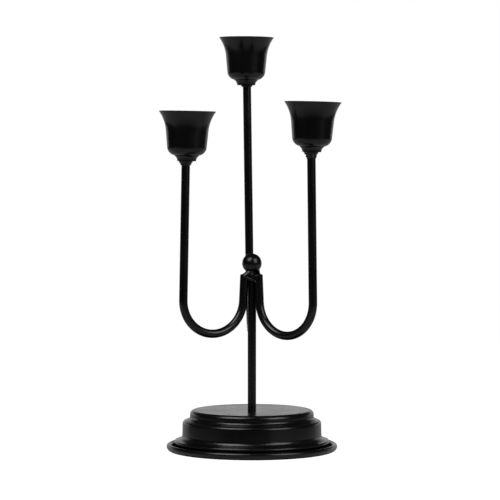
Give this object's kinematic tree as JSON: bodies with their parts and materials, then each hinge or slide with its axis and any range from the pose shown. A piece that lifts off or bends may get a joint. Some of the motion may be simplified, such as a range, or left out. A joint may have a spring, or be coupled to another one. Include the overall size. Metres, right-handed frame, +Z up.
{
  "type": "candelabra",
  "caption": "Black satin table candelabra: J-bent round arms welded round a ball-topped stem, bell-shaped candle cups, stepped round base in a rolled-rim pan.",
  "frame": {"origin": "on the stem's axis, on the surface that the base stands on", "axes": "+Z up along the stem, +Y from the stem towards the tall rear arm, so the front faces -Y"},
  "size_m": [0.127, 0.1349, 0.2947],
  "materials": {
    "black_paint": "satin black powder coat on mild steel",
    "zinc_steel": "bright zinc-plated steel"
  },
  "bodies": {
    "root": {"base_cover": "black_paint", "base_pan": "black_paint", "stem": "black_paint", "ball_finial": "black_paint", "hub_weld": "black_paint", "left_arm": "black_paint", "left_collar": "black_paint", "left_cup": "black_paint", "left_cup_weld": "black_paint", "right_arm": "black_paint", "right_collar": "black_paint", "right_cup": "black_paint", "right_cup_weld": "black_paint", "rear_arm": "black_paint", "rear_collar": "black_paint", "rear_cup": "black_paint", "rear_cup_weld": "black_paint", "cover_washer": "zinc_steel", "cover_nut": "zinc_steel", "pan_washer": "zinc_steel", "pan_nut": "zinc_steel"}
  },
  "joints": []
}
